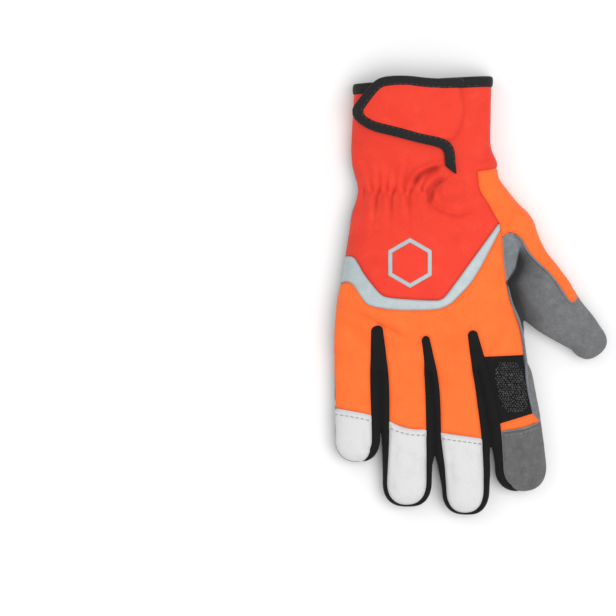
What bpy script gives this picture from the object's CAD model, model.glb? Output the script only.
"""Looks of a right-hand work glove that lies on its palm.

All shapes are worked out in millimetres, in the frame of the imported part: fingers to -Y, cuff to +Y,
thumb on the +X side, floor at z = 0. They become metres when a mesh is made.
"""
import itertools
import math

import bpy
import numpy as np
import openvdb
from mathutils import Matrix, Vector
from mathutils.bvhtree import BVHTree


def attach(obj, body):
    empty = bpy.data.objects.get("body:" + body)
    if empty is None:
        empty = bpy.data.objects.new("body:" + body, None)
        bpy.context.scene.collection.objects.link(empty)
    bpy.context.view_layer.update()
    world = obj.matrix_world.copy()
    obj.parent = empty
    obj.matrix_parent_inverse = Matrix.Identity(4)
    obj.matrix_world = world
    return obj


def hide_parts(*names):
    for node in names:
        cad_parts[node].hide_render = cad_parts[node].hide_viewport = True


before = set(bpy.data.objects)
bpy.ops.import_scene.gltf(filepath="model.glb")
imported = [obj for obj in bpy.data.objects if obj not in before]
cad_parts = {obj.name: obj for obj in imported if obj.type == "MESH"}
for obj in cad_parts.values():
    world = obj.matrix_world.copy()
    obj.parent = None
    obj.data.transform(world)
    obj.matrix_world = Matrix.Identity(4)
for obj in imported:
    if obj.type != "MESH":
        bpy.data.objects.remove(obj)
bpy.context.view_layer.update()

MM = 0.001
CELL = 0.74                 # grid of the distance field
GRID_LOW = np.array([-84.0, -131.5, -4.0])
GRID_HIGH = np.array([84.0, 134.0, 36.0])
MIN_SLOPE = 0.012           # of the field, where it becomes a distance
SEAM_Z = 10.0               # height of the side seam between back and palm
BACK_ROUNDNESS = 2.3
PALM_ROUNDNESS = 2.8
PLAN_ROUNDNESS = 2.4        # of the fingertips, seen from above
PANEL_ROUNDNESS = 2.3       # of the ends of the panels on them
FINGER_BLEND = 5.0          # soft joint between the back of the hand and a finger
CONTACT = 0.5               # two fingers overlap by this much where they are pressed together
WALL = 1.7                  # cloth and suede
SEAM_DEPTH = 0.85           # panels roll in this far at a seam
SEAM_WIDTH = 1.1
SEAM_GAP = 0.06             # from the seam line to the edge of a panel
CUT_LEVELS = (0.5, 1.1, 2.0)  # distances from the seam at which a panel gets more points
THINNEST = 0.4              # least thickness of a panel
FLOOR_GAP = 0.02            # from the floor to the lowest point
INSIDE_LOW = 0.9            # lowest point of the lining
ABOVE = 80.0                # heights beyond the glove
BELOW = -20.0
FAR = 120.0                 # beyond the glove
EDGE_REACH = 6.0            # distances outside an outline end here
LEFT = -95.0                # beyond the little finger

# Hand and cuff: a row for each section from the cuff to the finger roots
HAND_COLUMNS = ("y", "left", "right", "top")
HAND = [
    (133.0, -67.0, 12.1, 24.0),
    (110.0, -68.0, 11.7, 24.5),
    (90.0, -69.0, 11.4, 24.5),
    (84.0, -69.0, 12.4, 24.5),
    (76.0, -68.8, 15.6, 24.0),
    (60.5, -65.4, 16.5, 22.5),
    (48.0, -69.0, 19.0, 26.0),
    (33.0, -71.2, 21.0, 29.0),
    (12.0, -74.5, 22.0, 30.5),
    (-4.0, -77.8, 24.0, 30.0),
    (-19.0, -78.6, 29.4, 26.5),
    (-32.0, -79.0, 31.0, 20.5),
]
HAND_END = 10.0             # round end of the hand behind the finger slits

# Fingers: sides of each finger and edges of the panel on its back, from the knuckle to the round tip
FINGER_COLUMNS = ("y", "left", "right", "panel_left", "panel_right")
FINGERS = {
    "little": [
        (-19.7, -78.6, -54.5, -95.0, -58.0),
        (-44.1, -79.0, -53.2, -95.0, -58.0),
        (-62.6, -78.8, -52.5, -95.0, -57.7),
        (-82.5, -78.4, -52.0, -95.0, -57.0),
    ],
    "ring": [
        (-19.7, -54.5, -28.7, -51.2, -29.8),
        (-34.8, -53.9, -25.8, -49.2, -27.4),
        (-53.4, -52.9, -22.9, -47.6, -26.1),
        (-81.2, -52.0, -21.2, -47.6, -25.5),
        (-107.0, -51.5, -21.8, -49.0, -25.2),
    ],
    "middle": [
        (-19.7, -28.4, -0.3, -25.6, -2.4),
        (-34.8, -25.5, 2.0, -21.8, -0.3),
        (-53.4, -22.6, 6.1, -18.6, 2.9),
        (-81.2, -21.1, 10.9, -17.4, 6.5),
        (-98.0, -19.6, 11.9, -15.6, 7.6),
        (-112.0, -17.2, 11.6, -14.7, 7.8),
    ],
    "index": [
        (-19.7, 0.0, 31.0, 3.0, 60.0),
        (-34.8, 2.4, 31.9, 7.5, 60.0),
        (-44.0, 4.4, 35.4, 10.2, 60.0),
        (-53.4, 6.7, 37.4, 12.5, 60.0),
        (-71.9, 10.1, 40.9, 16.5, 60.0),
        (-98.5, 13.6, 44.4, 18.6, 60.0),
    ],
}
FINGER_END = {"little": 13.7, "ring": 15.5, "middle": 15.4, "index": 15.1}
CONTACT_END = {             # y where it stops touching the finger on its left and on its right
    "little": (None, -78.0),
    "ring": (-78.0, -95.0),
    "middle": (-95.0, -88.0),
    "index": (-88.0, None),
}
CONTACT_RELEASE = 1.1       # its side draws back by this there
CONTACT_FADE = 6.0          # over this length to each side
FINGER_TOP = 18.0
FINGERTIP_TOP = 16.5
FINGER_ROOT = 18.0          # a finger goes on this far inside the hand
FINGER_SHRINK = 3.5         # and gets thinner by this there, so that it ends without a step
CAP_MARGIN = 2.0
CAP_SWELL = 0.9
LIP_WIDTH = 4.1             # doubled edge of a white cap
LIP_HEIGHT = 0.4

# Thumb, in its own frame: along it, its inner and outer side across it, height of its back
THUMB_AXIS = np.array([0.6, -0.8])
THUMB_ACROSS = np.array([0.8, 0.6])
THUMB_COLUMNS = ("along", "inner", "outer", "top")
THUMB = [
    (-53.6, 18.2, 52.6, 20.0),
    (-43.6, 16.0, 53.9, 22.0),
    (-32.0, 14.2, 54.0, 22.5),
    (-26.0, 13.8, 54.2, 22.5),
    (-19.3, 13.2, 55.4, 23.0),
    (-13.0, 12.6, 55.2, 22.5),
    (-4.3, 11.8, 52.4, 21.5),
    (5.9, 11.2, 50.6, 21.0),
    (17.8, 12.4, 50.8, 20.5),
    (29.4, 16.2, 50.8, 19.5),
    (40.2, 19.4, 49.8, 18.7),
    (52.2, 24.2, 50.0, 18.0),
    (60.5, 28.0, 49.7, 17.2),
]
THUMB_END = 11.6

# Where the dark strips between two fingers start: y on the back and on the palm
CROTCHES = {
    ("little", "ring"): {"back": -17.6, "palm": -29.8},
    ("ring", "middle"): {"back": -23.4, "palm": -38.0},
    ("middle", "index"): {"back": -20.2, "palm": -39.2},
}
CROTCH_ROUND = 3.0
PAST_TIP = {"little": -2, "ring": 3, "middle": 3, "index": -2}  # points of the round end past its middle
STRIP_TAPER = 1.0           # of the pointed ends: how far the edge runs for each millimetre of height
STRIP_TAPER_LENGTH = 7.0
STRIP_END_Z = 8.7

# Seams on the back, as seen from above
BAND_INNER = [(LEFT, 22.8), (-69, 22.8), (-66.2, 19.6), (-62.3, 12.8), (-53, 1.4), (-49.5, -0.6), (-40, -1.8),
              (-20, -2.7), (-16.6, -1.6), (-13.3, 2.1), (5.5, 27.5), (16.2, 42.4)]
BAND_OUTER = [(LEFT, 7.4), (-75.5, 7.6), (-72.5, 8.3), (-69, 6.8), (-61.8, -3.2), (-57.7, -5.8),
              (-45.9, -8), (-30, -8.4), (-19.3, -7.7), (-14.5, -6), (-10.3, -3.2), (1.9, 10.6), (17, 38.2)]
GUSSET_TOP = [(3.8, 71.9), (14.7, 74), (60, 74), (FAR, 74)]
GUSSET_HAND_SIDE = [(3.8, 71.9), (5.1, 61.5), (9.6, 54.2), (16.2, 42.4)]
GUSSET_TO_CROTCH = [(16.2, 42.4), (17, 38.2), (18.2, 33.5)]
GUSSET_THUMB_SIDE = [(18.2, 33.5), (21, 36.2), (24, 36.5), (28.5, 33.6), (34.4, 24.4), (47.3, 11.3),
                     (55.9, -1.2), (58, -3.6), (60, -3.6), (62.3, -1.2), (64, 1), (80, 16)]
CROTCH_SIDE = [(18.2, 33.5), (18.8, 21), (20.6, 7.5)]
HAND_SIDE = [(20.6, 7.5), (22.7, -2.3), (28.3, -17.4), (31.6, -34.2)]
CROTCH_PATCH = [(28.5, 33.6), (27.9, 27.5), (25.4, 16.2), (20.6, 7.5)]
INDEX_SIDE = [(31.6, -34.2), (32, -48.7), (33.6, -58.2), (36.2, -68)]
INDEX_STRIP_TOP = [(10.5, -75.5), (16.8, -73.9), (36.2, -68)]
INDEX_CAP_SEAM = [(10.5, -80.3), (16.8, -78.8), (30.7, -76.6), (40.9, -72.6), (60, -71.5)]
PATCH_TOP = [(31.6, -34.2), (7.5, -35.4), (4, -35.5)]
CAP_SEAM = [(10.5, -83), (6.4, -82.5), (-17.5, -79.1), (-25.5, -77.4), (-33.5, -77.1), (-40.4, -75.6),
            (-47.5, -72.5), (-57.7, -69), (-68, -66.8), (-78.1, -65.2), (LEFT, -63.5)]

# Seams on the palm, in the same frame
THUMB_ARC = [(7.4, 2.6), (-0.8, 8.5), (-5.5, 15.3), (-9, 31.4), (-6.6, 45.5), (2.2, 57.6)]
WRIST_SEAM = [(1.0, 72.1), (-29.9, 73.9), (-53, 75.6), (-69.4, 77.7), (LEFT, 78.4)]
WRIST_LEFT = [(-69.4, 77.7), (-63.5, 85.9), (-55.9, 119.5), (-55.5, 140)]
WRIST_RIGHT = [(1.0, 72.1), (-11.3, 119.5), (-16, 140)]
GUSSET_WRIST = [(1.0, 72.1), (1.6, 65), (2.2, 57.6)]
GUSSET_PALM_SIDE = [(2.2, 57.6), (5.7, 51), (11, 42.5), (19.8, 30.8), (30.9, 19), (44.4, 7.3),
                    (48.5, 4.2), (53, 3.4), (60, 5), (80, 16)]
GUSSET_WRIST_TOP = [(1.0, 72.1), (14.7, 74), (60, 74), (FAR, 74)]
THUMB_FRONT = [(7.4, 2.6), (3.2, 6), (4, 11.5), (11.8, 17), (21, 14.7), (34, 6), (49, -5.5), (57, -14),
               (65.5, -24), (67.5, -29.5), (65, -35), (62, -50)]
THUMB_FOLD = [(62, -50), (31.5, -20.0), (23.3, -10.9), (7.4, 2.6)]
INDEX_SIDE_PALM = [(23.3, -10.9), (25.6, -34), (30.9, -53), (35.5, -68), (41.5, -84)]
LOWER_CROSS = [(60, -51), (22, -50.4), (7, -51.3), (-1, -53.5), (-10, -52), (-20, -53.7), (-26, -50.5),
               (-36, -46.8), (-47, -45.8), (-54, -43), (-66, -41.4), (LEFT, -40.5)]
UPPER_CROSS = [(60, -69.5), (24, -68.4), (9, -69.8), (6, -70.5), (-6, -69.8), (-17, -72), (-26, -69.5),
               (-37, -66.4), (-47, -65.5), (-54, -63.5), (-66, -62), (LEFT, -62.3)]

# Lines that run down inside the dark strips, and the span of each finger between them
LITTLE_RING_X = -53.0
RING_MIDDLE_X = -21.8
MIDDLE_INDEX_X = 10.5
SPANS = {
    "little": (-94, LITTLE_RING_X),
    "ring": (LITTLE_RING_X, RING_MIDDLE_X),
    "middle": (RING_MIDDLE_X, MIDDLE_INDEX_X),
    "index": (MIDDLE_INDEX_X, 59),
}

# Cuff, and the section of the tape folded over its edge, as (along the glove, out from the skin)
CUFF_END_Y = 126.7
CUFF_SLANT = 0.055
CUFF_SETBACK = 1.2          # the cloth ends this far inside the tape
CUFF_MIDDLE = (-28.0, 11.0)
CUFF_HALF = (40.0, 13.0)
CUFF_ROUNDNESS = 2.5
BINDING_WIDTH = 6.4
BINDING_SIDES = 260
BINDING_SECTION = [
    (-BINDING_WIDTH, -0.2), (-BINDING_WIDTH + 0.3, 0.55), (-4.2, 0.95), (-2.2, 1.0), (-0.9, 0.8),
    (-0.2, 0.2), (0.0, -0.7), (-0.3, -1.7), (-1.2, -2.4), (-3.0, -2.6), (-5.0, -2.5),
    (-BINDING_WIDTH, -2.2), (-BINDING_WIDTH, -1.2),
]

# Closure strap: the red cloth and the middle line of the tape round it
STRAP_SEAM = [(-7.5, 121.5), (-6.5, 118.8), (-5.0, 108.3), (-6.5, 98.4), (-11.3, 90.5)]
STRAP_TAPE = [(-7.4, 122.9), (-9.8, 122.6), (-15.8, 122.4), (-25.7, 122.9), (-37.8, 124.1),
              (-48.5, 123.7), (-52.9, 122.0), (-57.4, 117.4), (-61.2, 112.0), (-63.6, 107.4), (-62.6, 103.2),
              (-58.8, 99.9), (-53.6, 97.5), (-43.3, 94.8), (-32.3, 91.8), (-21.3, 89.2), (-16.2, 87.4),
              (-13.5, 84.6), (-12.6, 80.5), (-12.4, 77.5), (-12.0, 74.4), (-11.6, 69.0)]
TAPE_END = (-15.2, 75.0)    # a slanted cut
TAPE_END_NORMAL = (0.6, 0.8)
TAPE_END_FROM_X = -22.0
TAPE_EXTRA = 0.3            # the tape stands this much above the cloth, and is this much thicker
TAPE_ROUND = 1.3            # width of its round edge
TAPE_RISE = 1.7
TAPE_SINK = 1.2             # of the edge
STRAP_CLOTH = STRAP_SEAM + STRAP_TAPE[2:16][::-1]
STRAP_LIFT = 1.1
STRAP_WALL = 1.8
STRAP_TOP = STRAP_LIFT + STRAP_WALL
TAPE_WIDTH = 5.9

# Gathers over the wrist elastic: x of each fold, lean of its upper end, shift and lean of its lower end,
# its reach up and down, its height
ELASTIC_Y = 60.5
GATHERS = [
    (-64.2, -1.5, -0.8, -0.5, 7, 9, 0.7),
    (-60.0, -3.5, 1.9, -1.5, 11, 13, 1.0),
    (-55.2, -2.5, -1.6, -3.5, 14, 24, 1.1),
    (-51.4, 0.5, 1.7, -0.5, 20, 12, 1.0),
    (-46.2, -1.5, -1.9, -2.5, 12, 22, 1.2),
    (-41.6, 2.0, 1.6, 0.5, 21, 14, 1.1),
    (-36.4, 4.5, -1.7, -1.0, 13, 19, 1.1),
    (-31.8, 7.0, 1.5, 0.5, 15, 10, 1.0),
    (-26.6, 8.5, -1.5, 1.0, 11, 13, 1.0),
    (-22.0, 9.0, 1.0, 1.0, 7, 8, 0.7),
]

# Longer folds of the cloth: points, half width and height (valleys are negative)
BACK_FOLDS = [
    ([(-13, 80), (-17, 76.6), (-25.7, 74.8), (-32.3, 70.9), (-35.6, 65.4), (-37.3, 60)], 1.9, 1.8),
    ([(-14, 77), (-19, 74), (-26, 71.8), (-31, 67.5), (-33.5, 62)], 1.5, -1.7),
    ([(-13.2, 73.5), (-18, 70.5), (-24, 67.5), (-27.5, 62.5), (-28.5, 56)], 1.9, 1.8),
    ([(-12.6, 71), (-16, 67), (-20.5, 63.5), (-23, 58), (-24, 52)], 1.5, -1.6),
    ([(-11.5, 70.5), (-13.5, 66.5), (-16.5, 62.5), (-18.8, 57)], 1.7, 1.1),
    ([(-24, 60), (-21.5, 54), (-16.9, 50), (-8.1, 47.8), (0.7, 50.6), (5.1, 56.6)], 2.1, -1.5),
    ([(-19, 58), (-15, 54), (-8, 52), (-1, 54), (3, 60)], 3.6, 0.9),
    ([(-26, 52), (-19, 45.5), (-8, 43.5), (1, 46.5)], 3.2, 0.6),
    ([(-72, -8), (-58, -14.5), (-46, -21), (-33.9, -26.7)], 2.1, -1.5),
    ([(-70, -2), (-56, -9), (-44, -15.5), (-32, -21)], 3.0, 1.1),
    ([(-66, 88), (-58, 84), (-52, 75)], 3.0, 0.8),
    ([(-67, 82), (-61, 77), (-57, 68)], 2.2, -0.7),
    ([(-4, 84), (3, 80), (12, 79.5)], 2.8, -0.5),
    ([(-2, 80), (5, 76.5), (14, 76.5)], 2.6, 0.6),
    ([(10, 118), (5, 104), (6, 92)], 3.0, -0.5),
    ([(12, 60), (18, 48), (27, 38)], 2.6, -0.8),
    ([(24, 52), (31, 44), (38, 33)], 2.6, 0.7),
    ([(30, 20), (36, 8), (42, -3)], 3.0, -1.1),
    ([(36, 18), (44, 6), (56, -10)], 5.0, -0.5),
    ([(-76, -36), (-68, -38), (-60, -36)], 3.0, -0.5),
    ([(-46, -46), (-38, -48), (-28, -46)], 3.0, -0.5),
    ([(-20, -48), (-8, -51), (2, -48)], 3.0, -0.5),
    ([(-63, -76), (-60.5, -84), (-61, -92)], 1.8, -0.7),
    ([(-42, -82), (-44, -94), (-42, -106)], 2.2, -0.5),
    ([(-32, -84), (-30, -96), (-31, -108)], 2.4, 0.4),
    ([(-10, -88), (-12, -100), (-9, -114)], 2.2, -0.5),
    ([(2, -88), (3, -100), (1, -112)], 2.4, 0.4),
    ([(24, -82), (27, -92), (26, -104)], 2.6, -0.5),
    ([(36, -80), (38, -90), (37, -102)], 2.6, 0.4),
    ([(12, 4), (2, -8), (-12, -14)], 4.5, -0.6),
]
PALM_FOLDS = [
    ([(20, -20), (6, -28), (-14, -30), (-40, -26), (-72, -20)], 4.0, -1.0),
    ([(8, 0), (-12, -8), (-40, -10), (-76, -4)], 4.5, -0.8),
    ([(-12, 20), (-14, 40), (-6, 56)], 4.0, 0.8),
    ([(-40, 24), (-42, 48), (-44, 66)], 5.0, -0.6),
    ([(-60, 60), (-50, 66), (-38, 68)], 3.5, 0.7),
    ([(-4, 84), (-2, 98), (-4, 114)], 3.0, -0.8),
    ([(4, 80), (5, 96), (3, 114)], 2.6, 0.8),
    ([(-64, 92), (-61, 104), (-60, 116)], 2.6, 0.8),
    ([(20, 30), (34, 14), (46, 0)], 5.0, 0.7),
    ([(-20, 96), (-30, 90), (-44, 92)], 6.0, 0.5),
]

# Crease where the thumb goes down beside the hand, and the grime in it
CREASE_DEPTH = 8.0
CREASE_REACH = 6.5
CREASE_START = -13.0
CREASE_FADE = 14.0
GRIME_REACH = 9.0
GRIME_START = -26.0

# Darker hollows: the depth with the full shade, the half width that is narrow, the share for wide folds
HOLLOW_DEPTH = 1.6
NARROW_FOLD = 1.8
WIDE_SHADE = 0.22

# Plain hexagons: one pressed into the suede of the wrist, one of reflective film on the back
MOTIF_CENTRE = (-24.0, 96.0)
MOTIF_RADIUS = 8.5
MOTIF_DEPTH = 0.45
MOTIF_HALF = 0.8
RING_CENTRE = (-35.5, 19.0)
RING_RADIUS = 14.5
RING_STROKE = 2.8
RING_WALL = 0.35

# Rubber area on the index finger
GRIP_CENTRE = np.array([23.4, -52.6])
GRIP_HALF = np.array([8.6, 15.4])
GRIP_ROUNDNESS = 3.4
GRIP_LEAN = 0.17
GRIP_HEIGHT = 0.7
NUB_PROFILE = [(1.0, -0.6), (1.0, 0.35), (0.72, 0.85), (0.3, 1.0)]
NUB_ROWS = 30
NUB_SPACING = 1.45
NUB_RADIUS = 0.66
NUB_HEIGHT = 0.6
NUB_LIFT = 0.65
NUB_SHIFT = 0.3
NUB_SIZES = (0.8, 1.15)
NUB_SIDES = 8
NUB_AREA = 0.95             # share of the rubber area that has nubs

# Stitches and raised edges
STITCH_SPACING = 3.1
STITCH_LENGTH = 2.3
STITCH_RADIUS = 0.32
STITCH_PROFILE = [(-1.0, -0.9, 0.5), (-0.75, 0.1, 0.9), (0.0, 0.45, 1.0), (0.75, 0.1, 0.9), (1.0, -0.9, 0.5)]
STITCH_SIDES = 6
EDGE_STEP = 1.0
EDGE_HALF = 0.75
EDGE_HEIGHT = 0.45
EDGE_PROFILE = [(-1.0, -0.8), (-1.0, 0.3), (-0.7, 0.85), (0.0, 1.0), (0.7, 0.85), (1.0, 0.3), (1.0, -0.8)]

# Stitched lines and rows: how far a row is from its seam, and where it runs
CAP_STITCH_ROW = 3.3
CAP_STITCH_SPANS = [(-77.0, -59.3), (-44.0, -27.5), (-15.0, 5.6)]
INDEX_STITCH_ROW = 2.4
TAPE_STITCH_ROW = 1.2
TAPE_STITCH_LIFT = 0.62
CUFF_STITCH_ROW = 1.2
CUFF_STITCH_LIFT = 0.85
CUFF_STITCH_END = 4.0
CUFF_XS = np.arange(-59.0, CUFF_STITCH_END, 1.5)
FINGER_FRONT_SPANS = [      # on the lower seam and on the upper seam of each finger
    ((-77.0, -59.0), (-77.0, -58.8)),
    ((-47.2, -27.6), (-46.8, -26.6)),
    ((-17.8, 1.9), (-17.1, 4.2)),
    ((13.0, 29.6), (16.7, 34.6)),
]
CROSS_STITCH_ROW = 2.3
WRIST_STITCH_ROW = 2.5
WRIST_STITCH_SPAN = (-60.0, -1.0)
THUMB_EDGE_ROW = 2.4
PAD_LINE = [(22.3, -15.5), (3.9, -12.6), (-10.1, -8.5), (-23.1, 0.9), (-28.3, 15.3), (-31.3, 32.6),
            (-34.8, 50.2), (-38, 66.3)]
PAD_BRANCH = [(-28.3, 14.1), (-53, 23.2), (-75.3, 33.7)]
WRIST_PATCH = [(-16.9, 64.9), (-3.7, 65.5), (-3.7, 57.7), (-16.9, 57.0), (-16.9, 64.9)]

# Floor, lights and camera, in metres
FLOOR_HALF = 3.0
FLOOR_Z = -0.0003
WORLD_STRENGTH = 0.70
LIGHT_SIZE = 1.0
LIGHTS = {"key": ((0.38, -0.12, 1.35), 12.2), "fill": ((-0.9, 0.6, 1.2), 2.5)}
CAMERA_PLACE = (-0.0943, -0.007, 2.9875)
FOCAL_LENGTH = 300          # millimetres, on a sensor 36 wide


def column(rows, columns, name):
    return np.array([row[columns.index(name)] for row in rows], float)


def smooth_line(points, step=1.5):
    """Catmull-Rom curve through the points, in steps of about the given length."""
    points = np.asarray(points, float)
    ends = np.vstack([2 * points[0] - points[1], points, 2 * points[-1] - points[-2]])
    line = []
    for a, b, c, d in zip(ends, ends[1:], ends[2:], ends[3:]):
        reach = np.linalg.norm(c - b)
        count = max(1, int(reach / step))
        # tangents no longer than the stretch itself, so that uneven points give no loops
        before = (c - a) * min(1.0, reach / max(np.linalg.norm(c - a), 1e-6))
        after = (d - b) * min(1.0, reach / max(np.linalg.norm(d - b), 1e-6))
        for t in np.arange(count) / count:
            line.append((2 * t**3 - 3 * t**2 + 1) * b + (t**3 - 2 * t**2 + t) * before
                        + (3 * t**2 - 2 * t**3) * c + (t**3 - t**2) * after)
    return np.array(line + [points[-1]])


def along_rows(rows, columns, key, name):
    """The named column as a smooth function of the key column, for arrays."""
    keys = column(rows, columns, key)
    values = column(rows, columns, name)
    curve = smooth_line(np.column_stack([keys, values]), 1.0)
    order = np.argsort(curve[:, 0])
    return lambda at: np.interp(at, curve[order, 0], curve[order, 1])


def soft_min(a, b, reach):
    blend = np.maximum(reach - np.abs(a - b), 0) / reach
    return np.minimum(a, b) - blend * blend * reach / 4


def soft_max(a, b, reach):
    return -soft_min(-a, -b, reach)


def step_up(value, low, high):
    t = np.clip((value - low) / (high - low), 0, 1)
    return t * t * (3 - 2 * t)


def unit(rows):
    return rows / np.maximum(np.linalg.norm(rows, axis=1, keepdims=True), 1e-6)


def superellipse(angles, roundness):
    """Both coordinates of a rounded oval of half size 1."""
    return [np.sign(part) * np.abs(part) ** (2 / roundness) for part in (np.cos(angles), np.sin(angles))]


def bell(away, half):
    """1 in the middle, fading to both sides."""
    return np.exp(-((away / half) ** 2))


def between_corners(cell, t, value_at):
    """Values at the eight corners of a cell, weighed by the place t in it."""
    total = 0
    for i, j, k in itertools.product((0, 1), repeat=3):
        weight = (t[:, 0] if i else 1 - t[:, 0]) * (t[:, 1] if j else 1 - t[:, 1])
        weight = weight * (t[:, 2] if k else 1 - t[:, 2])
        total = total + weight * value_at(cell[:, 0] + i, cell[:, 1] + j, cell[:, 2] + k)
    return total


def noise(points, size, seed):
    """Smooth noise between -1 and 1 with bumps of about the given size."""
    lattice = np.random.default_rng(seed).uniform(-1, 1, (32, 32, 32))
    place = points / size + 512.0
    cell = np.floor(place).astype(int)
    return between_corners(cell, step_up(place - cell, 0, 1), lambda i, j, k: lattice[i % 32, j % 32, k % 32])


# The glove's outer form as a distance field
class Grid:
    """A regular grid round the glove, with its outer form as a field that is negative inside."""

    def __init__(self):
        self.shape = np.ceil((GRID_HIGH - GRID_LOW) / CELL).astype(int) + 1
        x, y, z = (low + CELL * np.arange(count) for low, count in zip(GRID_LOW, self.shape))
        self.x = x[:, None, None].astype(np.float32)
        self.y = y[None, :, None].astype(np.float32)
        self.z = z[None, None, :].astype(np.float32)

    def as_distance(self, field):
        """Divides a field by its slope, which makes it a distance near its zero level."""
        slopes = np.gradient(field, CELL)
        slope = np.sqrt(sum(part * part for part in slopes))
        return field / np.maximum(slope, MIN_SLOPE)

    def tube(self, across, left, right, top, beyond, end):
        """Superellipse section with a round end: beyond is the way past the last section."""
        up = np.clip((self.z - SEAM_Z) / (top - SEAM_Z), 0, None)
        down = np.clip((SEAM_Z - self.z) / SEAM_Z, 0, None)
        over = np.clip(beyond / end, 0, None)
        side = np.abs((across - (left + right) / 2) / ((right - left) / 2))
        plan = (side**PLAN_ROUNDNESS + over**PLAN_ROUNDNESS) ** (1 / PLAN_ROUNDNESS)
        back = (plan**BACK_ROUNDNESS + up**BACK_ROUNDNESS) ** (1 / BACK_ROUNDNESS)
        palm = (plan**PALM_ROUNDNESS + down**PALM_ROUNDNESS) ** (1 / PALM_ROUNDNESS)
        return self.as_distance(np.where(self.z > SEAM_Z, back, palm) - 1)

    def hand(self):
        y = self.y[0, :, 0]
        left, right, top = (along_rows(HAND, HAND_COLUMNS, "y", name)(y)[None, :, None]
                            for name in ("left", "right", "top"))
        return self.tube(self.x, left, right, top, HAND[-1][0] - self.y, HAND_END)

    def finger(self, name):
        rows = FINGERS[name]
        y = self.y[0, :, 0]
        left, right = (along_rows(rows, FINGER_COLUMNS, "y", side)(y) for side in ("left", "right"))
        released = lambda end: CONTACT_RELEASE * step_up(end - y, -CONTACT_FADE, CONTACT_FADE) - CONTACT
        on_left, on_right = CONTACT_END[name]
        if on_left is not None:
            left = left + released(on_left)
        if on_right is not None:
            right = right - released(on_right)
        left, right = left[None, :, None], right[None, :, None]
        first, last = rows[0][0], rows[-1][0]
        share = np.clip((first - self.y) / (first - last), 0, 1)
        top = FINGER_TOP + (FINGERTIP_TOP - FINGER_TOP) * share
        solid = self.tube(self.x, left, right, top, last - self.y, FINGER_END[name])
        solid = solid + FINGER_SHRINK * step_up(self.y, first, first + FINGER_ROOT)
        return np.maximum(solid, self.y - first - FINGER_ROOT)

    def thumb(self):
        along = self.x * THUMB_AXIS[0] + self.y * THUMB_AXIS[1]
        across = self.x * THUMB_ACROSS[0] + self.y * THUMB_ACROSS[1]
        inner, outer, top = (along_rows(THUMB, THUMB_COLUMNS, "along", name)(along)
                             for name in ("inner", "outer", "top"))
        solid = self.tube(across, inner, outer, top, along - THUMB[-1][0], THUMB_END)
        return np.maximum(solid, THUMB[0][0] - along)

    def glove(self):
        """All parts joined, softer on the back than on the palm."""
        height = step_up(self.z, SEAM_Z, SEAM_Z + 6)
        fingers = [self.finger(name) for name in FINGERS]
        together = fingers[0]
        for finger in fingers[1:]:
            together = soft_min(together, finger, 0.4 + 1.6 * height)
        whole = soft_min(self.hand(), together, 0.3 + FINGER_BLEND * height)
        whole = soft_min(whole, self.thumb(), 1.0 + 5.0 * height)
        whole = soft_max(whole, self.resting_height() - self.z, 2.5)
        return whole.astype(np.float32)

    def resting_height(self):
        """Underside of the glove: it touches at the heel, the knuckles and the fingertips."""
        x, y = self.x[:, :, 0], self.y[:, :, 0]
        height = 0.35 + 1.0 * bell(y + 46, 9) + 0.8 * bell(y + 84, 8) + 0.9 * bell(y - 66, 7)
        height = height + 1.7 * bell(x + 24, 22) * bell(y - 12, 20)
        return np.broadcast_to(height[:, :, None], self.shape)

    def sample(self, field, points):
        """Trilinear values of a field at points."""
        place = (points - GRID_LOW) / CELL
        cell = np.clip(np.floor(place).astype(int), 0, self.shape - 2)
        return between_corners(cell, place - cell, lambda i, j, k: field[i, j, k])

    def surface(self, field):
        """The surface where the field is zero, as points, unit normals and triangles."""
        volume = openvdb.FloatGrid(background=3.0)
        volume.copyFromArray(field)
        points, quads = volume.convertToQuads(isovalue=0.0)
        points = points * CELL + GRID_LOW
        slopes = np.gradient(field, CELL)
        normals = unit(np.column_stack([self.sample(part, points) for part in slopes]))
        triangles = np.vstack([quads[:, [0, 1, 2]], quads[:, [0, 2, 3]]])
        a, b, c = (points[triangles[:, i]] for i in range(3))
        faces = np.cross(b - a, c - a)
        if (faces * normals[triangles[:, 0]]).sum() < 0:
            triangles = triangles[:, ::-1]
        return points, normals, triangles


# Outlines of the panels
def outline(*stretches):
    """One closed outline from stretches of points."""
    return np.array([tuple(point) for stretch in stretches for point in stretch])


def fingertip(edge, left, right):
    """Outline of what lies past an edge across a finger."""
    return outline(edge, [(right, -2 * FAR), (left, -2 * FAR)])


def hexagon(centre, radius):
    turns = np.radians(30 + 60 * np.arange(6))
    return np.column_stack([centre[0] + radius * np.cos(turns), centre[1] + radius * np.sin(turns)])


def curve(points, reverse=False):
    line = smooth_line(points)
    return line[::-1] if reverse else line


def stretch_between(line, start, end):
    """The part of a line across the fingers between two values of x, from left to right."""
    line = line[np.argsort(line[:, 0])]
    xs = np.array([start, *[x for x in line[:, 0] if start < x < end], end])
    return np.column_stack([xs, np.interp(xs, line[:, 0], line[:, 1])])


def panel_tip(name):
    """Round end of the panel on a finger, from its left to its right edge."""
    y, left, right, panel_left, panel_right = FINGERS[name][-1]
    left = max(panel_left, left - CAP_MARGIN)
    half = (min(panel_right, right + CAP_MARGIN) - left) / 2
    across, past = superellipse(np.radians(np.arange(6, 175, 8)), PANEL_ROUNDNESS)
    return np.column_stack([left + half - half * across, y - (FINGER_END[name] - CAP_MARGIN / 2) * past])


def panel_edge(name, side, below):
    """Edge of a finger's panel from below the crotch to its round end."""
    y = np.arange(below, FINGERS[name][-1][0], -2.0)
    return np.column_stack([along_rows(FINGERS[name], FINGER_COLUMNS, "y", side)(y), y])


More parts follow.
